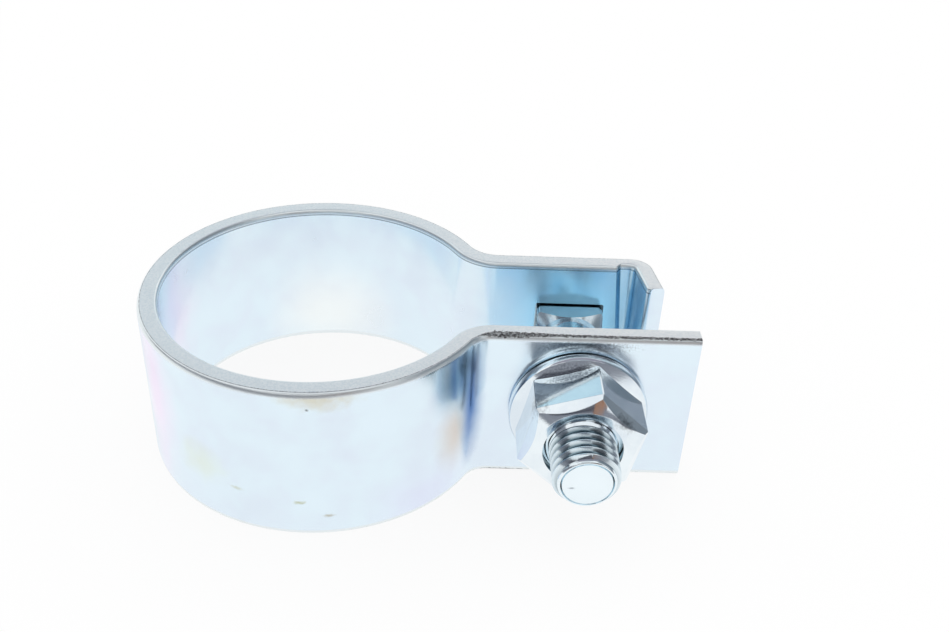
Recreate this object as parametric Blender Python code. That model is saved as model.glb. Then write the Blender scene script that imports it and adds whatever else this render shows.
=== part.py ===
"""Exhaust clamp: a folded steel band that grips a pipe, with its carriage bolt and flange nut.

Metres, +Z up. The clamp stands on the lower edge of its band. The pipe runs along Z and the two ears
point along +X. The bolt runs along Y, with its head behind the rear ear and its nut on the front ear.
The origin is the middle of the clamp's footprint.
"""

import math

import bmesh
import bpy
from mathutils import Matrix, Vector

MM = 0.001

# Strip of steel that the band is folded from, with the soft edges that shearing leaves on its two faces
STRIP_THICKNESS = 3.0 * MM
STRIP_WIDTH = 26.0 * MM
OUTER_ROLL_DEPTH = 0.45 * MM
OUTER_ROLL_HEIGHT = 1.1 * MM
INNER_ROLL_DEPTH = 0.4 * MM
INNER_ROLL_HEIGHT = 0.8 * MM

# Ring, and the bends that turn it out into the ears
BORE_DIAMETER = 48.6 * MM
REAR_BEND_RADIUS = 5.0 * MM
FRONT_BEND_RADIUS = 4.0 * MM

# Ears: inner faces from the plane through the pipe's axis, and lengths from the bolt's axis
FRONT_EAR_OFFSET = 9.2 * MM
REAR_EAR_OFFSET = 8.2 * MM
BOLT_STANDOFF = 12.7 * MM
FRONT_EAR_OVERHANG = 17.3 * MM
REAR_EAR_OVERHANG = 9.5 * MM

# Lip folded over at the end of the rear ear
LIP_ANGLE = math.radians(81.5)
LIP_LENGTH = 6.0 * MM
LIP_FOLD_RADIUS = 3.6 * MM
LIP_THICKNESS = 2.85 * MM
LIP_END_ROUND = 0.7 * MM

# Groove pressed into the root of the lip's fold, its floor wider by the flare at the strip's two edges
GROOVE_FLOOR = 0.1 * MM
GROOVE_FLARE = 1.2 * MM
GROOVE_SLOPE = 0.9 * MM
GROOVE_DEPTH = 0.9 * MM
GROOVE_CORNER_ROUND = 1.1 * MM

# Holes in the ears, each wider than what passes through it by its clearance on every side
SHANK_HOLE_CLEARANCE = 0.55 * MM
NECK_HOLE_CLEARANCE = 0.65 * MM
NECK_HOLE_ROUND = 0.4 * MM

# Carriage bolt
SHANK_DIAMETER = 9.9 * MM
BOLT_LENGTH = 40.8 * MM
TIP_CHAMFER = 0.7 * MM
HEAD_DIAMETER = 24.0 * MM
HEAD_HEIGHT = 5.2 * MM
HEAD_RIM = 1.0 * MM
NECK_WIDTH = 10.0 * MM
NECK_LENGTH = 6.9 * MM
NECK_ROUND = 0.6 * MM
NECK_TAPER_LENGTH = 1.6 * MM
NECK_END_STEP = 0.4 * MM

# Flange nut: hexagon, the dish in its end face, and the mouth of its bore at the bottom of the dish
NUT_ACROSS_FLATS = 17.0 * MM
NUT_ACROSS_CORNERS = 19.5 * MM
NUT_HEIGHT = 9.8 * MM
NUT_ANGLE = math.radians(17.4)
NUT_FACE_DIAMETER = 16.15 * MM
NUT_CHAMFER_ANGLE = math.radians(30.0)
DISH_DIAMETER = 15.6 * MM
DISH_DEPTH = 1.4 * MM
MOUTH_DIAMETER = 11.9 * MM
MOUTH_TAPER_LENGTH = 1.5 * MM

# Flange under the nut's hexagon
FLANGE_DIAMETER = 21.0 * MM
FLANGE_RIM = 1.6 * MM
FLANGE_EDGE = 0.4 * MM
FLANGE_ANGLE = math.radians(15.0)
FLANGE_CONE_INSET = 0.85 * MM

# Clearances between pieces
SEAT_GAP = 0.3 * MM
THREAD_GAP = 0.3 * MM

# Fineness of the round surfaces
RING_STEP = math.radians(4.0)
BEND_STEP = math.radians(8.0)
CORNER_STEP = math.radians(30.0)
ROLL_STEP = math.radians(30.0)
SLOPE_STEPS = 4
DOME_STEPS = 12
TURNED_SIDES = 64
SHARP_ANGLE = math.radians(25.0)

# How far cutters and overlapping bodies run past the faces they meet, and the size of an axis marker
CUTTER_MARGIN = 1.0 * MM
MARKER_SIZE = 5.0 * MM

# Sizes that follow from the ones above
RING_INNER = BORE_DIAMETER / 2
RING_OUTER = RING_INNER + STRIP_THICKNESS
FRONT_FACE = FRONT_EAR_OFFSET + STRIP_THICKNESS
REAR_FACE = REAR_EAR_OFFSET + STRIP_THICKNESS
BOLT_DISTANCE = RING_OUTER + BOLT_STANDOFF
FRONT_EAR_END = BOLT_DISTANCE + FRONT_EAR_OVERHANG
LIP_FOLD_START = BOLT_DISTANCE + REAR_EAR_OVERHANG
SHANK_RADIUS = SHANK_DIAMETER / 2
HEAD_SEAT = REAR_FACE + SEAT_GAP
HEAD_TOP = HEAD_SEAT + HEAD_HEIGHT
BOLT_TIP = HEAD_SEAT - BOLT_LENGTH
NUT_SEAT = FRONT_FACE + SEAT_GAP
NECK_HOLE_WIDTH = NECK_WIDTH + 2 * NECK_HOLE_CLEARANCE

# Colours of the zinc plate: the bluish strip, the greyer bolt and the brighter nut
STRIP_COLOUR = (0.74, 0.82, 0.88)
BOLT_COLOUR = (0.66, 0.71, 0.76)
NUT_COLOUR = (0.70, 0.76, 0.82)
STRIP_ROUGHNESS = 0.3
BOLT_ROUGHNESS = 0.2
NUT_ROUGHNESS = 0.15

QUARTER = math.pi / 2


def clear_scene():
    """Removes whatever objects the file already holds."""
    for thing in list(bpy.data.objects):
        bpy.data.objects.remove(thing, do_unlink=True)


def zinc_plated(name, colour, roughness):
    """Material of bright zinc plate on steel, in one colour."""
    material = bpy.data.materials.new(name)
    material.use_nodes = True
    shader = material.node_tree.nodes["Principled BSDF"]
    shader.inputs["Base Color"].default_value = (*colour, 1.0)
    shader.inputs["Metallic"].default_value = 1.0
    shader.inputs["Roughness"].default_value = roughness
    return material


def mesh_object(name, bm, parent, material=None):
    """Turns a bmesh into an object of the scene, shaded smooth with its true edges kept sharp."""
    bmesh.ops.recalc_face_normals(bm, faces=bm.faces)
    mesh = bpy.data.meshes.new(name)
    bm.to_mesh(mesh)
    bm.free()
    mesh.shade_smooth()
    mesh.set_sharp_from_angle(angle=SHARP_ANGLE)
    if material:
        mesh.materials.append(material)
    thing = bpy.data.objects.new(name, mesh)
    bpy.context.scene.collection.objects.link(thing)
    thing.parent = parent
    return thing


def axis_marker(name, place, turn):
    """Empty that marks an axis and carries the pieces built on it."""
    marker = bpy.data.objects.new(name, None)
    bpy.context.scene.collection.objects.link(marker)
    marker.empty_display_size = MARKER_SIZE
    marker.matrix_world = Matrix.Translation(place) @ turn
    return marker


def helper(thing):
    """Marks an object as a tool body that isn't part of the clamp."""
    thing.hide_render = True
    thing.display_type = "WIRE"
    return thing


def boolean(thing, operation, tool):
    """Adds a Boolean between a piece and a tool body."""
    modifier = thing.modifiers.new(f"{operation.lower()} {tool.name}", "BOOLEAN")
    modifier.operation = operation
    modifier.solver = "EXACT"
    modifier.object = tool


def loft(sections):
    """Closed body through a row of sections with equal numbers of points, closed by a face at each end."""
    bm = bmesh.new()
    rings = [[bm.verts.new(point) for point in section] for section in sections]
    for first, second in zip(rings, rings[1:]):
        for a, b, c, d in zip(first, first[1:] + first[:1], second[1:] + second[:1], second):
            bm.faces.new((a, b, c, d))
    bm.faces.new(rings[0])
    bm.faces.new(rings[-1])
    return bm


def turned(profile):
    """Body of revolution round Z. The profile's (radius, height) points go from one end to the other."""
    turns = [2 * math.pi * k / TURNED_SIDES for k in range(TURNED_SIDES)]
    return loft([
        [Vector((radius * math.cos(a), radius * math.sin(a), height)) for a in turns]
        for radius, height in profile
    ])


def prism(outline, low, high):
    """Straight prism along Z with the given (x, y) outline."""
    return loft([[Vector((x, y, z)) for x, y in outline] for z in (low, high)])


def arc(centre, radius, start, end, step):
    """Points on a round stretch, both ends included, no further apart than the step."""
    count = max(2, math.ceil(abs(end - start) / step))
    angles = [start + (end - start) * k / count for k in range(count + 1)]
    return [centre + radius * Vector((math.cos(a), math.sin(a))) for a in angles]


def rounded_square(width, radius):
    """Outline of a square with rounded corners, centred on the axis."""
    reach = width / 2 - radius
    outline = []
    for x, y, start in ((1, 1, 0), (-1, 1, 1), (-1, -1, 2), (1, -1, 3)):
        corner = Vector((x * reach, y * reach))
        outline += arc(corner, radius, start * QUARTER, (start + 1) * QUARTER, CORNER_STEP)
    return outline


def bend_centre(face, radius):
    """Centre of the bend between the ring's outside and an ear's outer face, for the ear on the +Y side."""
    height = face + radius
    return Vector((math.sqrt((RING_OUTER + radius) ** 2 - height**2), height))


def lip_stations():
    """Stations along the lip and its fold, from the lip's end to the floor of the groove.

    A station is the strip's outer and inner point in plan, and how far the inner side flares along X from
    the middle of the strip's width to its two edges.
    """
    along = Vector((math.cos(LIP_ANGLE), -math.sin(LIP_ANGLE)))
    across = Vector((math.sin(LIP_ANGLE), math.cos(LIP_ANGLE)))
    lip_side = QUARTER - LIP_ANGLE
    outer_centre = Vector((LIP_FOLD_START, REAR_FACE - LIP_FOLD_RADIUS))
    outer = arc(outer_centre, LIP_FOLD_RADIUS, lip_side, QUARTER, BEND_STEP)

    # The inner side turns on the groove's own small round, which touches the lip and the groove's floor
    inner_face = outer_centre.dot(across) + LIP_FOLD_RADIUS - LIP_THICKNESS
    root_y = REAR_EAR_OFFSET + GROOVE_DEPTH - GROOVE_CORNER_ROUND
    root_x = (inner_face - GROOVE_CORNER_ROUND - root_y * across.y) / across.x
    inner = arc(Vector((root_x, root_y)), GROOVE_CORNER_ROUND, lip_side, QUARTER, BEND_STEP)

    lip_end = outer[0] + LIP_LENGTH * along
    end_round_centre = Vector((LIP_THICKNESS - LIP_END_ROUND, LIP_END_ROUND))
    lip = []
    for point in arc(end_round_centre, LIP_END_ROUND, -QUARTER, 0.0, CORNER_STEP):
        place = lip_end - point.y * along
        lip.append((place, place - point.x * across, 0.0))

    fold = [(o, i, 0.0) for o, i in zip(outer, inner)]
    return lip + fold + groove_stations(root_x - GROOVE_FLOOR)


def groove_stations(foot):
    """Stations up the slope of the groove, from the end of its floor to the plain ear."""
    stations = []
    for k in range(SLOPE_STEPS + 1):
        share = k / SLOPE_STEPS
        depth = GROOVE_DEPTH * (1 + math.cos(math.pi * share)) / 2
        x = foot - share * GROOVE_SLOPE
        stations.append((Vector((x, REAR_FACE)), Vector((x, REAR_EAR_OFFSET + depth)), -GROOVE_FLARE))
    return stations


def bend_stations(face, radius, side):
    """Stations round the bend from an ear into the ring. Side is 1 for the rear ear, -1 for the front."""
    centre = bend_centre(face, radius)
    meets_ring = math.atan2(-centre.y, -centre.x)
    outer = arc(centre, radius, -QUARTER, meets_ring, BEND_STEP)
    inner = arc(centre, radius + STRIP_THICKNESS, -QUARTER, meets_ring, BEND_STEP)
    return [(Vector((o.x, side * o.y)), Vector((i.x, side * i.y)), 0.0) for o, i in zip(outer, inner)]


def ring_stations():
    """Stations round the ring, from the rear bend to the front bend, without the bends' own ends."""
    rear = bend_centre(REAR_FACE, REAR_BEND_RADIUS)
    front = bend_centre(FRONT_FACE, FRONT_BEND_RADIUS)
    start = math.atan2(rear.y, rear.x)
    end = 2 * math.pi - math.atan2(front.y, front.x)
    centre = Vector((0.0, 0.0))
    outer = arc(centre, RING_OUTER, start, end, RING_STEP)
    inner = arc(centre, RING_INNER, start, end, RING_STEP)
    return [(o, i, 0.0) for o, i in zip(outer, inner)][1:-1]


def strip_section(outer, inner, flare):
    """Cross-section of the strip at a station, with the soft edges that shearing leaves."""
    across = (inner - outer).normalized()
    thickness = (inner - outer).length
    points = []
    for x, z, start in ((1, 1, 0), (0, 1, 1), (0, 0, 2), (1, 0, 3)):
        depth = INNER_ROLL_DEPTH if x else OUTER_ROLL_DEPTH
        height = INNER_ROLL_HEIGHT if x else OUTER_ROLL_HEIGHT
        corner = Vector((x * thickness, z * STRIP_WIDTH))
        inward = Vector((depth * (1 - 2 * x), height * (1 - 2 * z)))
        for point in arc(Vector((0.0, 0.0)), 1.0, start * QUARTER, (start + 1) * QUARTER, ROLL_STEP):
            points.append(corner + inward + Vector((depth * point.x, height * point.y)))
    points.append(Vector((thickness, STRIP_WIDTH / 2)))

    section = []
    for depth, level in points:
        place = outer + across * depth
        shift = flare * abs(2 * level / STRIP_WIDTH - 1) * depth / thickness
        section.append(Vector((place.x + shift, place.y, level)))
    return section


def build_band(ring_axis, bolt_axis):
    """Band: lip, rear ear, ring and front ear in one folded strip, with its two bolt holes."""
    stations = lip_stations()
    stations += bend_stations(REAR_FACE, REAR_BEND_RADIUS, 1)
    stations += ring_stations()
    stations += bend_stations(FRONT_FACE, FRONT_BEND_RADIUS, -1)[::-1]
    stations.append((Vector((FRONT_EAR_END, -FRONT_FACE)), Vector((FRONT_EAR_END, -FRONT_EAR_OFFSET)), 0.0))
    bm = loft([strip_section(*station) for station in stations])
    finish = zinc_plated("zinc_plated_strip", STRIP_COLOUR, STRIP_ROUGHNESS)
    band = mesh_object("band", bm, ring_axis, finish)

    hole_radius = SHANK_RADIUS + SHANK_HOLE_CLEARANCE
    front_ends = (FRONT_EAR_OFFSET - CUTTER_MARGIN, FRONT_FACE + CUTTER_MARGIN)
    round_cutter = turned([(hole_radius, height) for height in front_ends])
    boolean(band, "DIFFERENCE", helper(mesh_object("shank_hole_cutter", round_cutter, bolt_axis)))

    square = rounded_square(NECK_HOLE_WIDTH, NECK_HOLE_ROUND)
    square_cutter = prism(square, -REAR_FACE - CUTTER_MARGIN, -REAR_EAR_OFFSET + CUTTER_MARGIN)
    boolean(band, "DIFFERENCE", helper(mesh_object("neck_hole_cutter", square_cutter, bolt_axis)))
    return band


def head_profile():
    """Profile of the domed head, from the crown to the edge of its flat underside."""
    rim_height = HEAD_HEIGHT - HEAD_RIM
    half = HEAD_DIAMETER / 2
    dome_radius = (half**2 + rim_height**2) / (2 * rim_height)
    opening = math.asin(half / dome_radius)
    crown = -HEAD_TOP
    points = []
    for k in range(1, DOME_STEPS + 1):
        angle = opening * k / DOME_STEPS
        points.append((dome_radius * math.sin(angle), crown + dome_radius * (1 - math.cos(angle))))
    return points + [(half, -HEAD_SEAT)]


def square_neck(bolt_axis):
    """Square neck under the head, its corners tapered away at the end towards the round shank."""
    start = -HEAD_SEAT - HEAD_RIM / 2
    end = -HEAD_SEAT + NECK_LENGTH
    neck = mesh_object("neck_block", prism(rounded_square(NECK_WIDTH, NECK_ROUND), start, end), bolt_axis)
    corner = NECK_WIDTH / math.sqrt(2)
    end_radius = SHANK_RADIUS + NECK_END_STEP
    slope = (corner - end_radius) / NECK_TAPER_LENGTH
    taper = turned([
        (corner, start - CUTTER_MARGIN),
        (corner, end - NECK_TAPER_LENGTH),
        (end_radius - slope * CUTTER_MARGIN, end + CUTTER_MARGIN),
    ])
    boolean(neck, "INTERSECT", helper(mesh_object("neck_taper", taper, bolt_axis)))
    return neck


def build_bolt(bolt_axis):
    """Carriage bolt: domed head, square neck that its hole keeps from turning, and a plain round shank."""
    tip = -BOLT_TIP
    profile = head_profile()
    profile += [
        (SHANK_RADIUS, -HEAD_SEAT),
        (SHANK_RADIUS, tip - TIP_CHAMFER),
        (SHANK_RADIUS - TIP_CHAMFER, tip),
    ]
    finish = zinc_plated("zinc_plated_bolt", BOLT_COLOUR, BOLT_ROUGHNESS)
    bolt = mesh_object("carriage_bolt", turned(profile), bolt_axis, finish)
    boolean(bolt, "UNION", helper(square_neck(bolt_axis)))
    return bolt


def nut_chamfer(bolt_axis, low, high):
    """Body that the hexagon is cut to: a cylinder over its corners with the cone of its end chamfer."""
    corner = NUT_ACROSS_CORNERS / 2
    face = NUT_FACE_DIAMETER / 2
    slope = math.tan(NUT_CHAMFER_ANGLE)
    envelope = turned([
        (corner, low - CUTTER_MARGIN),
        (corner, high - (corner - face) * slope),
        (face - CUTTER_MARGIN / slope, high + CUTTER_MARGIN),
    ])
    return mesh_object("nut_chamfer", envelope, bolt_axis)


def nut_flange(bolt_axis, low):
    """Flange: a low rim with eased edges, and the cone that rises from it into the hexagon."""
    rim = FLANGE_DIAMETER / 2
    hub = NUT_ACROSS_FLATS / 2 - FLANGE_CONE_INSET
    slope = math.tan(FLANGE_ANGLE)
    rim_top = low + FLANGE_RIM
    flange = turned([
        (rim - FLANGE_EDGE, low),
        (rim, low + FLANGE_EDGE),
        (rim, rim_top - FLANGE_EDGE),
        (rim - FLANGE_EDGE / 2, rim_top),
        (hub, rim_top + (rim - hub) * slope),
    ])
    return mesh_object("nut_flange", flange, bolt_axis)


def nut_bore(bolt_axis, low, high):
    """Cutter of the bore, with a chamfer at its seat and the dish and the mouth at its free end."""
    bore = SHANK_RADIUS + THREAD_GAP
    mouth = MOUTH_DIAMETER / 2
    dish = DISH_DIAMETER / 2
    dish_slope = (dish - mouth) / DISH_DEPTH
    cutter = turned([
        (mouth + CUTTER_MARGIN, low - CUTTER_MARGIN),
        (bore, low + mouth - bore),
        (bore, high - DISH_DEPTH - MOUTH_TAPER_LENGTH),
        (mouth, high - DISH_DEPTH),
        (dish + dish_slope * CUTTER_MARGIN, high + CUTTER_MARGIN),
    ])
    return mesh_object("nut_bore_cutter", cutter, bolt_axis)


def build_nut(bolt_axis):
    """Flange nut: chamfered hexagon on a coned flange, with a dished end face and a plain bore."""
    low = NUT_SEAT
    high = NUT_SEAT + NUT_HEIGHT
    corner = NUT_ACROSS_FLATS / math.sqrt(3)
    turns = [NUT_ANGLE + k * math.pi / 3 for k in range(6)]
    hexagon = [Vector((corner * math.cos(a), corner * math.sin(a))) for a in turns]
    finish = zinc_plated("zinc_plated_nut", NUT_COLOUR, NUT_ROUGHNESS)
    nut = mesh_object("flange_nut", prism(hexagon, low + FLANGE_RIM / 2, high), bolt_axis, finish)
    boolean(nut, "INTERSECT", helper(nut_chamfer(bolt_axis, low, high)))
    boolean(nut, "UNION", helper(nut_flange(bolt_axis, low)))
    boolean(nut, "DIFFERENCE", helper(nut_bore(bolt_axis, low, high)))
    return nut


def footprint_centre():
    """Middle of the clamp's bounding box seen from above, from the pipe's axis."""
    right = max(FRONT_EAR_END, LIP_FOLD_START + LIP_FOLD_RADIUS)
    front = min(BOLT_TIP, -RING_OUTER)
    rear = max(HEAD_TOP, RING_OUTER)
    return Vector(((right - RING_OUTER) / 2, (front + rear) / 2, 0.0))


def main():
    """Builds the clamp's three pieces on the axes of its pipe and its bolt."""
    clear_scene()
    pipe_place = -footprint_centre()
    ring_axis = axis_marker("pipe_axis", pipe_place, Matrix.Identity(4))
    bolt_place = pipe_place + Vector((BOLT_DISTANCE, 0.0, STRIP_WIDTH / 2))
    bolt_axis = axis_marker("bolt_axis", bolt_place, Matrix.Rotation(QUARTER, 4, "X"))
    build_band(ring_axis, bolt_axis)
    build_bolt(bolt_axis)
    build_nut(bolt_axis)


main()
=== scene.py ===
"""Looks of the exhaust clamp: its folded steel band, carriage bolt and flange nut, all in bright zinc plate.

Metres, +Z up. Each piece is modelled from the axis of the pipe or of the bolt and then moved to its place in
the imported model, whose boxes give both axes.
"""

import logging
import math
from dataclasses import dataclass
from enum import Enum

import bmesh
import bpy
from mathutils import Matrix, Vector


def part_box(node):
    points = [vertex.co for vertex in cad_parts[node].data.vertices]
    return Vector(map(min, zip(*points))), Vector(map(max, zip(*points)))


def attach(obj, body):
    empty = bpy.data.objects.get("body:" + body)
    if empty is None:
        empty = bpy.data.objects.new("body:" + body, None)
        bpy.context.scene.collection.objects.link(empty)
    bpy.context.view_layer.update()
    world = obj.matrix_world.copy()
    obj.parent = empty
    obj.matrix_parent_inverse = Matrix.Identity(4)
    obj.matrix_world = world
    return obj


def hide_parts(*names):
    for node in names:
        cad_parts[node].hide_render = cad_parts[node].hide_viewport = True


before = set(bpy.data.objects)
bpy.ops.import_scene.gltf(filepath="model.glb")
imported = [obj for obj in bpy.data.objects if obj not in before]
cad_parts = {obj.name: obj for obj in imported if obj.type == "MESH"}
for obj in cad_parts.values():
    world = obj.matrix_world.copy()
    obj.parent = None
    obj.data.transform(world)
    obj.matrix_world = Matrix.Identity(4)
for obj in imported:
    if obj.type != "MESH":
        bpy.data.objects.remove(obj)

MM = 0.001
QUARTER = math.pi / 2
STRIP_MAP = "strip"
MERGE_DISTANCE = 1e-7

# Sockets of a Mix node that mixes colours
MIX_FACTOR = 0
MIX_FIRST = 6
MIX_SECOND = 7
MIX_RESULT = 2

# Outer and inner point of the strip in plan, and how far its inner side flares towards its two edges
Station = tuple[Vector, Vector, float]

log = logging.getLogger("exhaust_clamp")


class Operation(Enum):
    """What a Boolean does with a piece and its tool body."""

    CUT = "DIFFERENCE"
    JOIN = "UNION"
    KEEP = "INTERSECT"


class Body(Enum):
    """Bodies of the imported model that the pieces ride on."""

    BAND = "band"
    BOLT = "bolt"
    NUT = "nut"


def linear(colour: str) -> tuple[float, float, float, float]:
    """Turns an sRGB hex colour into Blender's linear one.

    Args:
        colour: Six hex digits.

    Returns:
        Linear red, green and blue, and an alpha of 1.
    """
    shares = [int(colour[k:k + 2], 16) / 255 for k in (0, 2, 4)]
    values = [s / 12.92 if s <= 0.04045 else ((s + 0.055) / 1.055) ** 2.4 for s in shares]
    return (*values, 1.0)


def add_node(
    tree: bpy.types.NodeTree, kind: str, inputs: dict[str | int, object] | None = None, **settings: object
) -> bpy.types.NodeOutputs:
    """Adds a node with its settings, and links or sets its inputs.

    Args:
        tree: Node tree that gets the node.
        kind: Type name of the node.
        inputs: For each input, by name or number, the output socket linked to it or its value.
        **settings: Properties of the node, set before its inputs.

    Returns:
        The new node's output sockets.
    """
    node = tree.nodes.new(kind)
    for name, value in settings.items():
        setattr(node, name, value)
    for key, value in (inputs or {}).items():
        if isinstance(value, bpy.types.NodeSocket):
            tree.links.new(value, node.inputs[key])
        else:
            node.inputs[key].default_value = value
    return node.outputs


def empty_material(name: str) -> bpy.types.Material:
    """Makes a material with nodes, and with none in its tree yet.

    Args:
        name: Name of the material.

    Returns:
        The material.
    """
    material = bpy.data.materials.new(name)
    material.use_nodes = True
    material.node_tree.nodes.clear()
    return material


def arc(centre: Vector, radius: float, start: float, end: float, step: float) -> list[Vector]:
    """Points on a round stretch, both ends included.

    Args:
        centre: Centre in the plane.
        radius: Radius of the stretch.
        start: Angle of the first point.
        end: Angle of the last point.
        step: Largest angle between two points.

    Returns:
        The points, from start to end.
    """
    count = max(2, math.ceil(abs(end - start) / step))
    angles = [start + (end - start) * k / count for k in range(count + 1)]
    return [centre + radius * Vector((math.cos(a), math.sin(a))) for a in angles]


def loft(sections: list[list[Vector]]) -> bmesh.types.BMesh:
    """Closed body through a row of sections, with a face at each end.

    Args:
        sections: Rows of points, all equally long.

    Returns:
        The body.
    """
    bm = bmesh.new()
    rings = [[bm.verts.new(point) for point in section] for section in sections]
    for first, second in zip(rings, rings[1:]):
        for a, b, c, d in zip(first, first[1:] + first[:1], second[1:] + second[:1], second):
            bm.faces.new((a, b, c, d))
    bm.faces.new(rings[0])
    bm.faces.new(rings[-1])
    bmesh.ops.recalc_face_normals(bm, faces=bm.faces)
    return bm


def turned(profile: list[tuple[float, float]], sides: int) -> bmesh.types.BMesh:
    """Body of revolution round Z.

    Args:
        profile: Radius and height of its points, from one end to the other.
        sides: Number of flat sides that stand for the round.

    Returns:
        The body.
    """
    turns = [2 * math.pi * k / sides for k in range(sides)]
    return loft([
        [Vector((radius * math.cos(a), radius * math.sin(a), height)) for a in turns]
        for radius, height in profile
    ])


def prism(outline: list[Vector], low: float, high: float) -> bmesh.types.BMesh:
    """Straight prism along Z.

    Args:
        outline: Its corners in plan.
        low: Height of its lower face.
        high: Height of its upper face.

    Returns:
        The body.
    """
    return loft([[Vector((x, y, z)) for x, y in outline] for z in (low, high)])


def rounded_square(width: float, radius: float, step: float) -> list[Vector]:
    """Outline of a square with rounded corners, centred on the axis.

    Args:
        width: Distance between opposite sides.
        radius: Radius of the corners.
        step: Largest angle between two points of a corner.

    Returns:
        The outline's points.
    """
    reach = width / 2 - radius
    outline = []
    for x, y, start in ((1, 1, 0), (-1, 1, 1), (-1, -1, 2), (1, -1, 3)):
        outline += arc(Vector((x * reach, y * reach)), radius, start * QUARTER, (start + 1) * QUARTER, step)
    return outline


def add_object(name: str, bm: bmesh.types.BMesh, place: Matrix) -> bpy.types.Object:
    """Puts a body into the scene as an object at the origin, with its place in its mesh.

    Args:
        name: Name of the object.
        bm: The body, which is freed.
        place: Where the body's own frame lies.

    Returns:
        The object.
    """
    bm.transform(place)
    mesh = bpy.data.meshes.new(name)
    bm.to_mesh(mesh)
    bm.free()
    thing = bpy.data.objects.new(name, mesh)
    bpy.context.scene.collection.objects.link(thing)
    return thing


def boolean(thing: bpy.types.Object, operation: Operation, tool: bpy.types.Object) -> None:
    """Adds a Boolean between a piece and a tool body.

    Args:
        thing: The piece.
        operation: What is done with it.
        tool: The tool body.
    """
    modifier = thing.modifiers.new(f"{operation.name.lower()} {tool.name}", "BOOLEAN")
    modifier.operation = operation.value
    modifier.solver = "EXACT"
    modifier.object = tool


def round_edges(thing: bpy.types.Object, width: float, angle: float, segments: int = 2) -> None:
    """Adds a Bevel that rounds a piece's sharp edges.

    Args:
        thing: The piece.
        width: Width of the round.
        angle: Smallest angle between two faces whose edge is rounded.
        segments: Number of faces across the round.
    """
    modifier = thing.modifiers.new("edge_round", "BEVEL")
    modifier.limit_method = "ANGLE"
    modifier.angle_limit = angle
    modifier.width = width
    modifier.segments = segments
    modifier.use_clamp_overlap = True


def settle(thing: bpy.types.Object, tools: list[bpy.types.Object] | None = None) -> None:
    """Makes a piece's modifiers part of its mesh, and deletes its tool bodies.

    Args:
        thing: The piece.
        tools: Bodies that its modifiers used.
    """
    bpy.context.view_layer.update()
    evaluated = thing.evaluated_get(bpy.context.evaluated_depsgraph_get())
    mesh = bpy.data.meshes.new_from_object(evaluated)
    thing.modifiers.clear()
    thing.data = mesh
    mesh.name = thing.name
    for tool in tools or []:
        bpy.data.objects.remove(tool, do_unlink=True)


def smooth(thing: bpy.types.Object, angle: float) -> None:
    """Shades a piece smooth but for its sharp edges, with its large faces kept flat.

    Args:
        thing: The piece.
        angle: Smallest angle between two faces whose edge stays sharp.
    """
    thing.data.shade_smooth()
    thing.data.set_sharp_from_angle(angle=angle)
    modifier = thing.modifiers.new("face_weights", "WEIGHTED_NORMAL")
    modifier.mode = "FACE_AREA"
    modifier.weight = 100
    modifier.keep_sharp = True
    settle(thing)


@dataclass(frozen=True)
class Axes:
    """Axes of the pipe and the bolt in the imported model, each with its own frame.

    The bolt's frame has its Z along the bolt from the head to the tip, and starts in the pipe's plane.
    """

    pipe: Matrix
    bolt: Matrix

    @classmethod
    def from_frame(cls) -> "Axes":
        """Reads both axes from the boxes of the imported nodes.

        Returns:
            The axes.
        """
        low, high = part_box("band")
        radius = (high.y - low.y) / 2
        pipe_y = (low.y + high.y) / 2
        bolt_low, bolt_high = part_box("carriage_bolt")
        bolt_place = Vector(((bolt_low.x + bolt_high.x) / 2, pipe_y, (bolt_low.z + bolt_high.z) / 2))
        return cls(
            pipe=Matrix.Translation((low.x + radius, pipe_y, low.z)),
            bolt=Matrix.Translation(bolt_place) @ Matrix.Rotation(QUARTER, 4, "X"),
        )

    def bolt_height(self, y: float) -> float:
        """Height along the bolt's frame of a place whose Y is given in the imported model."""
        return self.bolt.translation.y - y


@dataclass(frozen=True)
class StainAndPaintedLight:
    """Soft patch of another colour, for spots left on the plate by a touch, a drip or the plating bath, and
    for painted shade and reflections.

    Its centre, from the pipe's axis, and its reach along each axis are in mm, and so is the grain that tears
    its border. Ragged says how far the border is torn, and core how far the patch stays whole, both as shares
    of the reach.
    """

    centre: tuple[float, float, float]
    reach: tuple[float, float, float]
    colour: str
    share: float
    ragged: float = 0.5
    grain: float = 1.5
    core: float = 0.0

    def lay(
        self, tree: bpy.types.NodeTree, coordinates: bpy.types.NodeSocket, place: Vector,
        under: bpy.types.NodeSocket,
    ) -> bpy.types.NodeSocket:
        """Lays the patch over a colour.

        Args:
            tree: Node tree of the material.
            coordinates: Object coordinates.
            place: Where the pipe's axis stands.
            under: The colour below.

        Returns:
            The colour with the patch.
        """
        reach = Vector(self.reach) * MM
        drift = self.ragged / 2 * reach
        noise = add_node(tree, "ShaderNodeTexNoise", {
            "Vector": coordinates, "Scale": 1 / (self.grain * MM), "Detail": 4.0,
        })
        mapped = add_node(tree, "ShaderNodeMapping", {
            "Vector": coordinates, "Location": place + Vector(self.centre) * MM + drift, "Scale": reach,
        }, vector_type="TEXTURE")
        torn = add_node(tree, "ShaderNodeVectorMath", {
            0: noise["Color"], 1: (self.ragged,) * 3, 2: mapped[0],
        }, operation="MULTIPLY_ADD")
        distance = add_node(tree, "ShaderNodeVectorMath", {0: torn[0]}, operation="LENGTH")
        share = add_node(tree, "ShaderNodeMapRange", {
            "Value": distance["Value"], "From Min": 1.0, "From Max": self.core, "To Max": self.share,
        }, interpolation_type="SMOOTHSTEP")
        return add_node(tree, "ShaderNodeMix", {
            MIX_FACTOR: share[0], MIX_FIRST: under, MIX_SECOND: linear(self.colour),
        }, data_type="RGBA")[MIX_RESULT]


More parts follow.
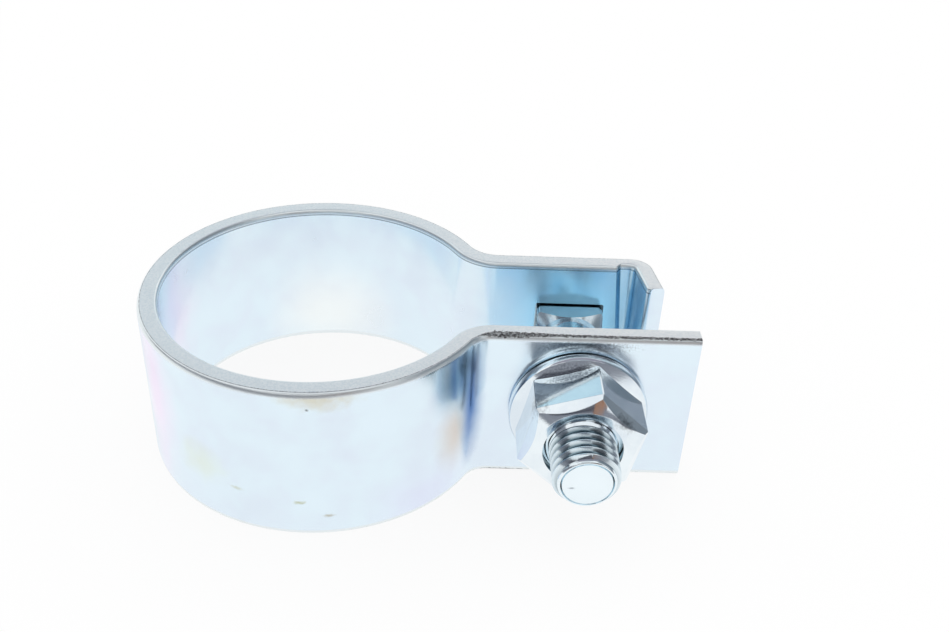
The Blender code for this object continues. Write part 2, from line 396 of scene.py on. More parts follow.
@dataclass(frozen=True)
class Surface:
    """Sockets that a finish hands to its shader: colour, roughness and the height of its relief."""

    colour: bpy.types.NodeSocket
    roughness: bpy.types.NodeSocket
    height: bpy.types.NodeSocket


@dataclass(frozen=True)
class ZincPlate:
    """Bright zinc plate with a clear blue passivate, on cold-formed steel.

    The plate mirrors its surroundings softly, its blue deepens where the light bounces between two faces,
    and handling leaves it with faint clouds of other tints. Its real grain, of some 0.02 mm, is too fine to
    show, and is drawn coarser.
    """

    name: str
    colour: str
    cloud_colour: str
    # Patches over the colour: real spots and drips, and painted shade and reflections
    stains_and_painted_light: tuple[StainAndPaintedLight, ...] = ()
    cloud_size: float = 9.0 * MM
    cloud_levels: tuple[float, float] = (0.4, 0.65)
    smooth_roughness: float = 0.11
    dull_roughness: float = 0.24
    dull_levels: tuple[float, float] = (0.35, 0.7)
    grain_size: float = 0.3 * MM
    grain_depth: float = 0.0016 * MM

    def surface(self, tree: bpy.types.NodeTree, place: Vector) -> Surface:
        """Builds the plate's colour, roughness and relief.

        Args:
            tree: Node tree of the material.
            place: Where the pipe's axis stands.

        Returns:
            The three sockets.
        """
        coordinates = add_node(tree, "ShaderNodeTexCoord")["Object"]
        cloud = add_node(tree, "ShaderNodeTexNoise", {
            "Vector": coordinates, "Scale": 1 / self.cloud_size, "Detail": 5.0, "Roughness": 0.6,
        })
        share = add_node(tree, "ShaderNodeMapRange", {
            "Value": cloud["Fac"], "From Min": self.cloud_levels[0], "From Max": self.cloud_levels[1],
        }, interpolation_type="SMOOTHSTEP")
        colour = add_node(tree, "ShaderNodeMix", {
            MIX_FACTOR: share[0], MIX_FIRST: linear(self.colour), MIX_SECOND: linear(self.cloud_colour),
        }, data_type="RGBA")[MIX_RESULT]
        for mark in self.stains_and_painted_light:
            colour = mark.lay(tree, coordinates, place, colour)

        grain = add_node(tree, "ShaderNodeTexNoise", {
            "Vector": coordinates, "Scale": 1 / self.grain_size, "Detail": 3.0,
        })
        roughness = add_node(tree, "ShaderNodeMapRange", {
            "Value": cloud["Fac"], "From Min": self.dull_levels[0], "From Max": self.dull_levels[1],
            "To Min": self.smooth_roughness, "To Max": self.dull_roughness,
        })
        height = add_node(
            tree, "ShaderNodeMath", {0: grain["Fac"], 1: self.grain_depth}, operation="MULTIPLY")
        return Surface(colour, roughness[0], height[0])

    def material(self, place: Vector) -> bpy.types.Material:
        """Makes the material.

        Args:
            place: Where the pipe's axis stands.

        Returns:
            The material.
        """
        material = empty_material(self.name)
        tree = material.node_tree
        surface = self.surface(tree, place)
        relief = add_node(tree, "ShaderNodeBump", {
            "Strength": 1.0, "Distance": 1.0, "Height": surface.height,
        })
        shader = add_node(tree, "ShaderNodeBsdfPrincipled", {
            "Base Color": surface.colour, "Metallic": 1.0, "Roughness": surface.roughness,
            "Normal": relief[0],
        })
        add_node(tree, "ShaderNodeOutputMaterial", {"Surface": shader[0]})
        return material


@dataclass(frozen=True)
class StripPlate(ZincPlate):
    """Zinc plate on a sheared strip.

    Its two faces are smooth. Its sheared edges are greyer, rougher and mottled, so that they read as cut and
    not as rolled. A dark burr runs along the border of the outer face and widens from the front bend on, and
    a thin dark line follows the upper soft edge of the inner face.
    """

    width: float = 26.0 * MM
    thickness: float = 3.0 * MM
    outer_roll_depth: float = 0.45 * MM
    inner_roll_depth: float = 0.4 * MM
    length: float = 0.0
    end_margin: float = 0.01 * MM

    # Soft edge: how long it is, and the share of it beyond which its own colour is whole
    roll_length: float = 1.5 * MM
    roll_whole: float = 0.6
    roll_colour: str = "EEF5F7"
    roll_roughness: float = 0.34

    # Sheared face, whose torn grain is drawn some three times as coarse as it is, so that it shows
    sheared_border: tuple[float, float] = (0.1 * MM, -0.05 * MM)
    sheared_colour: str = "EAEFF1"
    sheared_cloud: str = "F6F8F8"
    sheared_levels: tuple[float, float] = (0.4, 0.6)
    sheared_roughness: float = 0.5
    sheared_grain: float = 0.3 * MM
    sheared_depth: float = 0.012 * MM

    # Burr: a hair line round the ring, broad where the front bend starts, and thinner along the ear
    burr_start: float = 0.0
    burr_lead: float = 2.5 * MM
    burr_hold: float = 3.0 * MM
    burr_taper: float = 9.0 * MM
    burr_hair: float = 0.06 * MM
    burr_broad: float = 0.75 * MM
    burr_thin: float = 0.38 * MM
    burr_border: tuple[float, float] = (-0.04 * MM, 0.08 * MM)
    burr_colour: str = "3E3A3C"
    tear_size: float = 0.5 * MM
    tear_levels: tuple[float, float] = (0.3, 0.7)
    tear_range: tuple[float, float] = (0.45, 1.35)
    speck_levels: tuple[float, float] = (0.7, 0.4)
    speck_least: float = 0.35

    # Line along the inner face's soft edge: its distance from the sheared face and its two borders
    line_depth: float = 1.3 * MM
    line_border: tuple[float, float] = (0.16 * MM, 0.04 * MM)
    line_share: float = 0.7
    line_colour: str = "4C6076"

    def surface(self, tree: bpy.types.NodeTree, place: Vector) -> Surface:
        """Builds the plate's surface, with the sheared edges and the burr laid over it.

        Args:
            tree: Node tree of the material.
            place: Where the pipe's axis stands.

        Returns:
            Colour, roughness and relief.
        """
        plate = super().surface(tree, place)
        half = self.width / 2
        coordinates = add_node(tree, "ShaderNodeTexCoord")["Object"]
        level = add_node(tree, "ShaderNodeSeparateXYZ", {"Vector": coordinates})["Z"]
        path = add_node(tree, "ShaderNodeUVMap", uv_map=STRIP_MAP)
        along = add_node(tree, "ShaderNodeSeparateXYZ", {"Vector": path[0]})

        # Distance from the strip's sheared face, and from there how far round each of its two soft edges
        middle = add_node(tree, "ShaderNodeMath", {0: level, 1: half}, operation="SUBTRACT")
        away = add_node(tree, "ShaderNodeMath", {0: middle[0]}, operation="ABSOLUTE")
        edge = add_node(tree, "ShaderNodeMath", {0: half, 1: away[0]}, operation="SUBTRACT")

        # The strip's two ends count as smooth faces, far from any edge
        from_middle = add_node(
            tree, "ShaderNodeMath", {0: along["X"], 1: self.length / 2}, operation="SUBTRACT")
        off_middle = add_node(tree, "ShaderNodeMath", {0: from_middle[0]}, operation="ABSOLUTE")
        end = add_node(tree, "ShaderNodeMath", {
            0: off_middle[0], 1: self.length / 2 - self.end_margin,
        }, operation="GREATER_THAN")
        inset = add_node(
            tree, "ShaderNodeMath", {0: end[0], 1: self.width, 2: edge[0]}, operation="MULTIPLY_ADD")
        outer = add_node(tree, "ShaderNodeMath", {0: inset[0], 1: along["Y"]}, operation="SUBTRACT")
        outer_side = add_node(
            tree, "ShaderNodeMath", {0: outer[0], 1: self.outer_roll_depth}, operation="ADD")
        inner = add_node(tree, "ShaderNodeMath", {0: inset[0], 1: along["Y"]}, operation="ADD")
        inner_side = add_node(tree, "ShaderNodeMath", {
            0: inner[0], 1: self.thickness - self.inner_roll_depth,
        }, operation="SUBTRACT")
        side = add_node(tree, "ShaderNodeMath", {0: outer_side[0], 1: inner_side[0]}, operation="MAXIMUM")

        mottle = add_node(tree, "ShaderNodeTexNoise", {
            "Vector": coordinates, "Scale": 1 / self.sheared_grain, "Detail": 4.0, "Roughness": 0.65,
        })["Fac"]
        ragged = add_node(tree, "ShaderNodeTexNoise", {
            "Vector": coordinates, "Scale": 1 / self.tear_size, "Detail": 4.0, "Roughness": 0.7,
        })["Fac"]

        # From the plate's colour over the soft edge's to the sheared face's
        roll = add_node(tree, "ShaderNodeMapRange", {
            "Value": side[0], "From Min": self.roll_length, "From Max": self.roll_whole * self.roll_length,
        }, interpolation_type="SMOOTHSTEP")
        rolled = add_node(tree, "ShaderNodeMix", {
            MIX_FACTOR: roll[0], MIX_FIRST: plate.colour, MIX_SECOND: linear(self.roll_colour),
        }, data_type="RGBA")
        patches = add_node(tree, "ShaderNodeMapRange", {
            "Value": mottle, "From Min": self.sheared_levels[0], "From Max": self.sheared_levels[1],
        })
        grey = add_node(tree, "ShaderNodeMix", {
            MIX_FACTOR: patches[0], MIX_FIRST: linear(self.sheared_colour),
            MIX_SECOND: linear(self.sheared_cloud),
        }, data_type="RGBA")
        shear = add_node(tree, "ShaderNodeMapRange", {
            "Value": side[0], "From Min": self.sheared_border[0], "From Max": self.sheared_border[1],
        }, interpolation_type="SMOOTHSTEP")
        sheared = add_node(tree, "ShaderNodeMix", {
            MIX_FACTOR: shear[0], MIX_FIRST: rolled[MIX_RESULT], MIX_SECOND: grey[MIX_RESULT],
        }, data_type="RGBA")

        # Breadth of the burr along the strip, and its torn and speckled border
        rise = add_node(tree, "ShaderNodeMapRange", {
            "Value": along["X"], "From Min": self.burr_start - self.burr_lead, "From Max": self.burr_start,
            "To Min": self.burr_hair, "To Max": self.burr_broad,
        })
        fall = add_node(tree, "ShaderNodeMapRange", {
            "Value": along["X"], "From Min": self.burr_start + self.burr_hold,
            "From Max": self.burr_start + self.burr_taper, "To Min": self.burr_broad,
            "To Max": self.burr_thin,
        })
        least = add_node(tree, "ShaderNodeMath", {0: rise[0], 1: fall[0]}, operation="MINIMUM")
        torn = add_node(tree, "ShaderNodeMapRange", {
            "Value": ragged, "From Min": self.tear_levels[0], "From Max": self.tear_levels[1],
            "To Min": self.tear_range[0], "To Max": self.tear_range[1],
        })
        breadth = add_node(tree, "ShaderNodeMath", {0: least[0], 1: torn[0]}, operation="MULTIPLY")
        off = add_node(tree, "ShaderNodeMath", {0: outer_side[0]}, operation="ABSOLUTE")
        reach = add_node(tree, "ShaderNodeMath", {0: breadth[0], 1: off[0]}, operation="SUBTRACT")
        band = add_node(tree, "ShaderNodeMapRange", {
            "Value": reach[0], "From Min": self.burr_border[0], "From Max": self.burr_border[1],
        }, interpolation_type="SMOOTHSTEP")
        outer_half = add_node(
            tree, "ShaderNodeMath", {0: along["Y"], 1: self.thickness / 2}, operation="LESS_THAN")
        burr = add_node(tree, "ShaderNodeMath", {0: band[0], 1: outer_half[0]}, operation="MULTIPLY")
        speckled = add_node(tree, "ShaderNodeMapRange", {
            "Value": mottle, "From Min": self.speck_levels[0], "From Max": self.speck_levels[1],
            "To Min": self.speck_least,
        })
        dark = add_node(tree, "ShaderNodeMath", {0: burr[0], 1: speckled[0]}, operation="MULTIPLY")

        # Thin line on the inner face, along its upper edge alone
        below = add_node(tree, "ShaderNodeMath", {0: inner_side[0], 1: self.line_depth}, operation="SUBTRACT")
        off_line = add_node(tree, "ShaderNodeMath", {0: below[0]}, operation="ABSOLUTE")
        hair = add_node(tree, "ShaderNodeMapRange", {
            "Value": off_line[0], "From Min": self.line_border[0], "From Max": self.line_border[1],
            "To Max": self.line_share,
        })
        inner_half = add_node(
            tree, "ShaderNodeMath", {0: along["Y"], 1: self.thickness / 2}, operation="GREATER_THAN")
        upper_half = add_node(tree, "ShaderNodeMath", {0: middle[0], 1: 0.0}, operation="GREATER_THAN")
        corner = add_node(tree, "ShaderNodeMath", {0: inner_half[0], 1: upper_half[0]}, operation="MULTIPLY")
        line = add_node(tree, "ShaderNodeMath", {0: hair[0], 1: corner[0]}, operation="MULTIPLY")
        lined = add_node(tree, "ShaderNodeMix", {
            MIX_FACTOR: line[0], MIX_FIRST: sheared[MIX_RESULT], MIX_SECOND: linear(self.line_colour),
        }, data_type="RGBA")
        colour = add_node(tree, "ShaderNodeMix", {
            MIX_FACTOR: dark[0], MIX_FIRST: lined[MIX_RESULT], MIX_SECOND: linear(self.burr_colour),
        }, data_type="RGBA")

        rolled_roughness = add_node(tree, "ShaderNodeMix", {
            "Factor": roll[0], "A": plate.roughness, "B": self.roll_roughness,
        }, data_type="FLOAT")
        rough = add_node(tree, "ShaderNodeMath", {0: shear[0], 1: dark[0]}, operation="MAXIMUM")
        roughness = add_node(tree, "ShaderNodeMix", {
            "Factor": rough[0], "A": rolled_roughness[0], "B": self.sheared_roughness,
        }, data_type="FLOAT")
        pits = add_node(tree, "ShaderNodeMath", {0: mottle, 1: self.sheared_depth}, operation="MULTIPLY")
        height = add_node(
            tree, "ShaderNodeMath", {0: pits[0], 1: rough[0], 2: plate.height}, operation="MULTIPLY_ADD")
        return Surface(colour[MIX_RESULT], roughness[0], height[0])


@dataclass
class Band:
    """Band of the clamp: lip, rear ear, ring and front ear in one folded strip, with its two bolt holes."""

    thickness: float = 3.0 * MM
    width: float = 26.0 * MM
    outer_roll: tuple[float, float] = (0.45 * MM, 1.1 * MM)
    inner_roll: tuple[float, float] = (0.4 * MM, 0.8 * MM)
    bore_diameter: float = 48.6 * MM
    rear_bend_radius: float = 5.0 * MM
    front_bend_radius: float = 4.0 * MM
    front_ear_offset: float = 9.2 * MM
    rear_ear_offset: float = 8.2 * MM
    bolt_standoff: float = 12.7 * MM
    front_ear_overhang: float = 17.3 * MM
    rear_ear_overhang: float = 9.5 * MM
    lip_angle: float = math.radians(81.5)
    lip_length: float = 6.0 * MM
    lip_fold_radius: float = 3.6 * MM
    lip_thickness: float = 2.85 * MM
    lip_end_round: float = 0.7 * MM
    groove_floor: float = 0.1 * MM
    groove_flare: float = 1.2 * MM
    groove_slope: float = 0.9 * MM
    groove_depth: float = 0.9 * MM
    groove_corner_round: float = 1.1 * MM
    round_hole_diameter: float = 11.0 * MM
    square_hole_width: float = 11.3 * MM
    square_hole_round: float = 0.4 * MM
    hole_edge_round: float = 0.15 * MM
    hole_edge_angle: float = math.radians(50.0)
    cutter_margin: float = 1.0 * MM

    ring_step: float = math.radians(1.5)
    bend_step: float = math.radians(3.0)
    corner_step: float = math.radians(10.0)
    roll_step: float = math.radians(15.0)
    slope_steps: int = 10
    hole_sides: int = 128
    sharp_angle: float = math.radians(32.0)

    # Length along the strip's outer side, known once it is lofted
    length: float = 0.0

    @property
    def ring_inner(self) -> float:
        """Radius of the bore."""
        return self.bore_diameter / 2

    @property
    def ring_outer(self) -> float:
        """Radius of the ring's outside."""
        return self.ring_inner + self.thickness

    @property
    def front_face(self) -> float:
        """Distance of the front ear's outer face from the plane through the pipe's axis."""
        return self.front_ear_offset + self.thickness

    @property
    def rear_face(self) -> float:
        """Distance of the rear ear's outer face from the plane through the pipe's axis."""
        return self.rear_ear_offset + self.thickness

    @property
    def bolt_distance(self) -> float:
        """Distance between the axes of the pipe and the bolt."""
        return self.ring_outer + self.bolt_standoff

    @property
    def front_ear_end(self) -> float:
        """Distance of the front ear's end from the pipe's axis."""
        return self.bolt_distance + self.front_ear_overhang

    def bend_centre(self, face: float, radius: float) -> Vector:
        """Centre of the bend between the ring's outside and an ear's outer face, for the ear on the +Y side.

        Args:
            face: Distance of the ear's outer face from the plane through the pipe's axis.
            radius: Radius of the bend's outer side.

        Returns:
            The centre in plan.
        """
        height = face + radius
        return Vector((math.sqrt((self.ring_outer + radius) ** 2 - height**2), height))

    def lip_stations(self) -> list[Station]:
        """Stations along the lip and its fold, from the lip's end to the plain ear.

        Returns:
            For each station the strip's outer and inner point in plan, and how far its inner side flares
            along X from the middle of the strip's width to its two edges.
        """
        along = Vector((math.cos(self.lip_angle), -math.sin(self.lip_angle)))
        across = Vector((math.sin(self.lip_angle), math.cos(self.lip_angle)))
        lip_side = QUARTER - self.lip_angle
        fold_start = self.bolt_distance + self.rear_ear_overhang
        outer_centre = Vector((fold_start, self.rear_face - self.lip_fold_radius))
        outer = arc(outer_centre, self.lip_fold_radius, lip_side, QUARTER, self.bend_step)

        inner_face = outer_centre.dot(across) + self.lip_fold_radius - self.lip_thickness
        root_y = self.rear_ear_offset + self.groove_depth - self.groove_corner_round
        root_x = (inner_face - self.groove_corner_round - root_y * across.y) / across.x
        inner = arc(Vector((root_x, root_y)), self.groove_corner_round, lip_side, QUARTER, self.bend_step)

        lip_end = outer[0] + self.lip_length * along
        round_centre = Vector((self.lip_thickness - self.lip_end_round, self.lip_end_round))
        stations = []
        for point in arc(round_centre, self.lip_end_round, -QUARTER, 0.0, self.corner_step):
            place = lip_end - point.y * along
            stations.append((place, place - point.x * across, 0.0))
        stations += [(o, i, 0.0) for o, i in zip(outer, inner)]
        return stations + self.groove_stations(root_x - self.groove_floor)

    def groove_stations(self, foot: float) -> list[Station]:
        """Stations up the slope of the pressed groove.

        Args:
            foot: X of the slope's foot, at the end of the groove's floor.

        Returns:
            The stations, as lip_stations gives them.
        """
        stations = []
        for k in range(self.slope_steps + 1):
            share = k / self.slope_steps
            depth = self.groove_depth * (1 + math.cos(math.pi * share)) / 2
            x = foot - share * self.groove_slope
            inner = Vector((x, self.rear_ear_offset + depth))
            stations.append((Vector((x, self.rear_face)), inner, -self.groove_flare))
        return stations

    def bend_stations(self, face: float, radius: float, side: int) -> list[Station]:
        """Stations round the bend from an ear into the ring.

        Args:
            face: Distance of the ear's outer face from the plane through the pipe's axis.
            radius: Radius of the bend's outer side.
            side: 1 for the rear ear, -1 for the front ear.

        Returns:
            The stations, as lip_stations gives them.
        """
        centre = self.bend_centre(face, radius)
        meets_ring = math.atan2(-centre.y, -centre.x)
        outer = arc(centre, radius, -QUARTER, meets_ring, self.bend_step)
        inner = arc(centre, radius + self.thickness, -QUARTER, meets_ring, self.bend_step)
        return [(Vector((o.x, side * o.y)), Vector((i.x, side * i.y)), 0.0) for o, i in zip(outer, inner)]

    def ring_stations(self) -> list[Station]:
        """Stations round the ring, from the rear bend to the front bend, without the bends' own ends.

        Returns:
            The stations, as lip_stations gives them.
        """
        rear = self.bend_centre(self.rear_face, self.rear_bend_radius)
        front = self.bend_centre(self.front_face, self.front_bend_radius)
        start = math.atan2(rear.y, rear.x)
        end = 2 * math.pi - math.atan2(front.y, front.x)
        centre = Vector((0.0, 0.0))
        outer = arc(centre, self.ring_outer, start, end, self.ring_step)
        inner = arc(centre, self.ring_inner, start, end, self.ring_step)
        return [(o, i, 0.0) for o, i in zip(outer, inner)][1:-1]

    def outline(self, thickness: float) -> list[tuple[float, float]]:
        """Outline of the strip's cross-section, with the soft edges that shearing leaves.

        Args:
            thickness: Thickness of the strip at the section.

        Returns:
            Depth from the outer side, and height, of each point.
        """
        points = []
        for x, z, start in ((1, 1, 0), (0, 1, 1), (0, 0, 2), (1, 0, 3)):
            depth, height = self.inner_roll if x else self.outer_roll
            corner = Vector((x * thickness, z * self.width))
            inward = Vector((depth * (1 - 2 * x), height * (1 - 2 * z)))
            for point in arc(Vector((0.0, 0.0)), 1.0, start * QUARTER, (start + 1) * QUARTER, self.roll_step):
                spot = corner + inward + Vector((depth * point.x, height * point.y))
                points.append((spot.x, spot.y))
        return points + [(thickness, self.width / 2)]

    def section(self, outer: Vector, inner: Vector, flare: float) -> list[Vector]:
        """Cross-section of the strip at a station.

        Args:
            outer: Point on the strip's outer side, in plan.
            inner: Point on its inner side.
            flare: How far the inner side moves along X at the strip's two edges.

        Returns:
            The section's points.
        """
        across = (inner - outer).normalized()
        thickness = (inner - outer).length
        section = []
        for depth, level in self.outline(thickness):
            place = outer + across * depth
            shift = flare * abs(2 * level / self.width - 1) * depth / thickness
            section.append(Vector((place.x + shift, place.y, level)))
        return section

    def lay_map(self, bm: bmesh.types.BMesh, stations: list[Station]) -> None:
        """Gives the lofted strip a map: U is the length along it, V the depth from its outer side.

        Args:
            bm: The lofted strip.
            stations: Its stations.
        """
        lengths = [0.0]
        for first, second in zip(stations, stations[1:]):
            lengths.append(lengths[-1] + (second[0] - first[0]).length)
        self.length = lengths[-1]
        depths = [depth for depth, _ in self.outline(self.thickness)]
        count = len(depths)
        layer = bm.loops.layers.uv.new(STRIP_MAP)
        bm.verts.index_update()
        for face in bm.faces:
            for loop in face.loops:
                ring, point = divmod(loop.vert.index, count)
                loop[layer].uv = (lengths[ring], depths[point])

    def build(self, axes: Axes) -> bpy.types.Object:
        """Builds the band.

        Args:
            axes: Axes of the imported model.

        Returns:
            The band, without its finish.
        """
        stations = self.lip_stations()
        stations += self.bend_stations(self.rear_face, self.rear_bend_radius, 1)
        stations += self.ring_stations()
        stations += self.bend_stations(self.front_face, self.front_bend_radius, -1)[::-1]
        outer_end = Vector((self.front_ear_end, -self.front_face))
        stations.append((outer_end, Vector((self.front_ear_end, -self.front_ear_offset)), 0.0))
        bm = loft([self.section(*station) for station in stations])
        self.lay_map(bm, stations)
        band = add_object("clamp_band", bm, axes.pipe)

        ends = (self.front_ear_offset - self.cutter_margin, self.front_face + self.cutter_margin)
        radius = self.round_hole_diameter / 2
        round_hole = turned([(radius, height) for height in ends], self.hole_sides)
        square = rounded_square(self.square_hole_width, self.square_hole_round, self.corner_step)
        square_hole = prism(
            square, -self.rear_face - self.cutter_margin, -self.rear_ear_offset + self.cutter_margin)
        tools = [
            add_object("round_hole_cutter", round_hole, axes.bolt),
            add_object("square_hole_cutter", square_hole, axes.bolt),
        ]
        for tool in tools:
            boolean(band, Operation.CUT, tool)
        round_edges(band, self.hole_edge_round, self.hole_edge_angle)
        settle(band, tools)
        smooth(band, self.sharp_angle)
        return band

    def finish(self) -> StripPlate:
        """Zinc plate of the band, with its tints, drips and specks, and with painted shade and reflections.

        Returns:
            The finish.
        """
        ear = self.front_ear_end - self.bend_centre(self.front_face, self.front_bend_radius).x
        return StripPlate(
            name="bright_zinc_plated_strip_steel",
            colour="E6F5FE",
            cloud_colour="E6F2FD",
            smooth_roughness=0.16,
            dull_roughness=0.28,
            length=self.length,
            burr_start=self.length - ear,
            stains_and_painted_light=(
                # Outer wall: pink on the left, lavender low on the right
                StainAndPaintedLight((-22.7, -15.2, 17.0), (7.0, 7.0, 22.0), "FFE6FF", 0.65, 0.6, 6.0),
                StainAndPaintedLight((17.3, -21.1, 2.0), (12.0, 12.0, 9.0), "E4E6FE", 0.5, 0.6, 5.0),
                # A beige run under the top edge, a dark speck, three dried drops and a yellow-green cloud
                StainAndPaintedLight((2.85, -27.2, 25.2), (7.5, 4.0, 3.0), "D9D2B8", 0.75, 0.9, 1.5),
                StainAndPaintedLight((1.19, -27.3, 23.25), (0.35, 0.6, 0.3), "6F7470", 0.9, 0.6, 0.3),
                StainAndPaintedLight((-0.6, -27.3, 6.3), (1.3, 1.0, 0.5), "BFC3A0", 0.8, 0.9, 0.5),
                StainAndPaintedLight((3.5, -27.1, 3.7), (1.2, 1.0, 0.45), "B9B4A0", 0.8, 0.9, 0.5),
                StainAndPaintedLight((-9.8, -25.5, 7.2), (1.6, 1.0, 0.5), "C9CDB0", 0.6, 0.9, 0.5),
                StainAndPaintedLight((-15.3, -22.6, 9.6), (6.0, 6.0, 5.0), "E4EDD8", 0.5, 0.8, 3.0),
                # Front bend: painted reflection of the nut and painted shade, beige low in it, teal above,
                # and blue down its hollow
                StainAndPaintedLight((21.4, -16.8, 11.5), (5.2, 5.2, 8.5), "DCD3CB", 0.9, 0.3, 4.0),
                StainAndPaintedLight((21.2, -17.0, 21.5), (6.0, 6.0, 7.5), "7CA8C4", 0.85, 0.3, 4.0),
                StainAndPaintedLight((23.6, -13.7, 14.0), (3.0, 3.0, 14.0), "6088C2", 0.95, 0.3, 4.0),
                # Painted shade between the ears: blue on the rear ear's inner face and in the groove
                StainAndPaintedLight((41.0, 8.3, 14.0), (19.0, 2.4, 26.0), "A0E0FC", 1.0, 0.15, 4.0),
                StainAndPaintedLight((48.9, 6.4, 14.0), (4.6, 5.0, 26.0), "7CA8C4", 1.0, 0.15, 3.0),
                # Inner wall: pink on the left, and a painted reflection of the white floor, paler low at the
                # rear
                StainAndPaintedLight((-23.6, 4.0, 18.0), (5.0, 9.0, 14.0), "F6DEF8", 0.5, 0.6, 5.0),
                StainAndPaintedLight((-2.0, 24.3, 5.0), (20.0, 5.0, 13.0), "FAFFFF", 0.9, 0.3, 6.0),
                # Painted reflection of the nut's flange, grey on the front ear above the nut
                StainAndPaintedLight((40.0, -12.2, 24.6), (9.0, 1.0, 1.7), "4A545E", 0.7, 1.5, 0.4),
            ),
        )

    def dress(self, piece: bpy.types.Object, axes: Axes) -> None:
        """Gives the band its finish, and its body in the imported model.

        Args:
            piece: The band.
            axes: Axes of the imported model.
        """
        piece.data.materials.append(self.finish().material(axes.pipe.translation))
        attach(piece, Body.BAND.value)
        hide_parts("band")


@dataclass(frozen=True)
class Thread:
    """Ridge of a coarse M10 screw thread, wound along the bolt's axis by Geometry Nodes.

    The ridge stands on a core or, for a nut, on the wall of a bore, and is thicker at its base. It sinks a
    little into what it stands on, and fades out over a share of its length at its start.
    """

    base_radius: float
    crest_radius: float
    base_width: float
    crest_width: float
    start: float
    turns: float
    start_angle: float = 0.0
    sink: float = 0.12 * MM
    pitch: float = 1.5 * MM
    crest_round: float = 0.05 * MM
    steps: int = 72
    fade: float = 0.04
    faded_scale: float = 0.05

    def tree(self) -> bpy.types.NodeTree:
        """Builds the node tree, with a named input for each size.

        Returns:
            The tree.
        """
        tree = bpy.data.node_groups.new("screw_thread", "GeometryNodeTree")
        tree.is_modifier = True
        interface = tree.interface
        interface.new_socket("Geometry", in_out="INPUT", socket_type="NodeSocketGeometry")
        interface.new_socket("Geometry", in_out="OUTPUT", socket_type="NodeSocketGeometry")
        for name in self.inputs():
            kind = "NodeSocketInt" if name == "Steps" else "NodeSocketFloat"
            interface.new_socket(name, in_out="INPUT", socket_type=kind)
        interface.new_socket("Material", in_out="INPUT", socket_type="NodeSocketMaterial")
        given = add_node(tree, "NodeGroupInput")

        height = add_node(
            tree, "ShaderNodeMath", {0: given["Pitch"], 1: given["Turns"]}, operation="MULTIPLY")
        helix = add_node(tree, "GeometryNodeCurveSpiral", {
            "Resolution": given["Steps"], "Rotations": given["Turns"], "Start Radius": given["Base Radius"],
            "End Radius": given["Base Radius"], "Height": height[0],
        })
        shift = add_node(tree, "ShaderNodeCombineXYZ", {"Z": given["Start"]})
        turn = add_node(tree, "ShaderNodeCombineXYZ", {"Z": given["Start Angle"]})
        placed = add_node(tree, "GeometryNodeTransform", {
            "Geometry": helix[0], "Translation": shift[0], "Rotation": turn[0],
        })
        upright = add_node(tree, "GeometryNodeSetCurveNormal", {"Curve": placed[0]}, mode="Z_UP")

        # The helix's normals point at its axis, so the profile's X runs inwards
        rise = add_node(
            tree, "ShaderNodeMath", {0: given["Base Radius"], 1: given["Crest Radius"]}, operation="SUBTRACT")
        halves = {
            name: add_node(tree, "ShaderNodeMath", {0: given[name], 1: 0.5}, operation="MULTIPLY")[0]
            for name in ("Base Width", "Crest Width")
        }
        minus = {
            name: add_node(tree, "ShaderNodeMath", {0: half, 1: -1.0}, operation="MULTIPLY")[0]
            for name, half in halves.items()
        }
        corners = {
            "Point 1": (given["Sink"], minus["Base Width"]), "Point 2": (rise[0], minus["Crest Width"]),
            "Point 3": (rise[0], halves["Crest Width"]), "Point 4": (given["Sink"], halves["Base Width"]),
        }
        points = {
            name: add_node(tree, "ShaderNodeCombineXYZ", {"X": x, "Y": y})[0]
            for name, (x, y) in corners.items()
        }
        outline = add_node(tree, "GeometryNodeCurvePrimitiveQuadrilateral", points, mode="POINTS")
        profile = add_node(tree, "GeometryNodeFilletCurve", {
            "Curve": outline[0], "Count": 2, "Radius": given["Crest Round"],
        }, mode="POLY")

        along = add_node(tree, "GeometryNodeSplineParameter")
        run_out = add_node(tree, "ShaderNodeMapRange", {
            "Value": along["Factor"], "From Min": 0.0, "From Max": given["Fade"],
            "To Min": self.faded_scale, "To Max": 1.0,
        })
        ridge = add_node(tree, "GeometryNodeCurveToMesh", {
            "Curve": upright[0], "Profile Curve": profile[0], "Scale": run_out[0],
            "Fill Caps": True,
        })
        realised = add_node(tree, "GeometryNodeRealizeInstances", {"Geometry": ridge[0]})
        finished = add_node(tree, "GeometryNodeSetMaterial", {
            "Geometry": realised[0], "Material": given["Material"],
        })
        add_node(tree, "NodeGroupOutput", {"Geometry": finished[0]})
        return tree

    def inputs(self) -> dict[str, float | int]:
        """Values of the tree's named inputs.

        Returns:
            The value of each input, by name.
        """
        outwards = self.crest_radius > self.base_radius
        return {
            "Pitch": self.pitch,
            "Turns": self.turns,
            "Steps": self.steps,
            "Start": self.start,
            "Start Angle": self.start_angle,
            "Base Radius": self.base_radius,
            "Crest Radius": self.crest_radius,
            "Base Width": self.base_width,
            "Crest Width": self.crest_width,
            "Crest Round": self.crest_round,
            "Sink": self.sink if outwards else -self.sink,
            "Fade": self.fade,
        }

    def ridge(self, name: str, place: Matrix) -> bpy.types.Object:
        """Makes the ridge as a plain mesh.

        Args:
            name: Name of the object.
            place: Frame of the thread's axis.

        Returns:
            The ridge.
        """
        thing = add_object(name, bmesh.new(), Matrix.Identity(4))
        modifier = thing.modifiers.new("thread", "NODES")
        modifier.node_group = self.tree()
        values = self.inputs()
        for item in modifier.node_group.interface.items_tree:
            if item.in_out == "INPUT" and item.name in values:
                modifier[item.identifier] = values[item.name]
        settle(thing)
        bm = bmesh.new()
        bm.from_mesh(thing.data)
        bmesh.ops.remove_doubles(bm, verts=bm.verts, dist=MERGE_DISTANCE)
        bmesh.ops.recalc_face_normals(bm, faces=bm.faces)
        bm.transform(place)
        bm.to_mesh(thing.data)
        bm.free()
        return thing


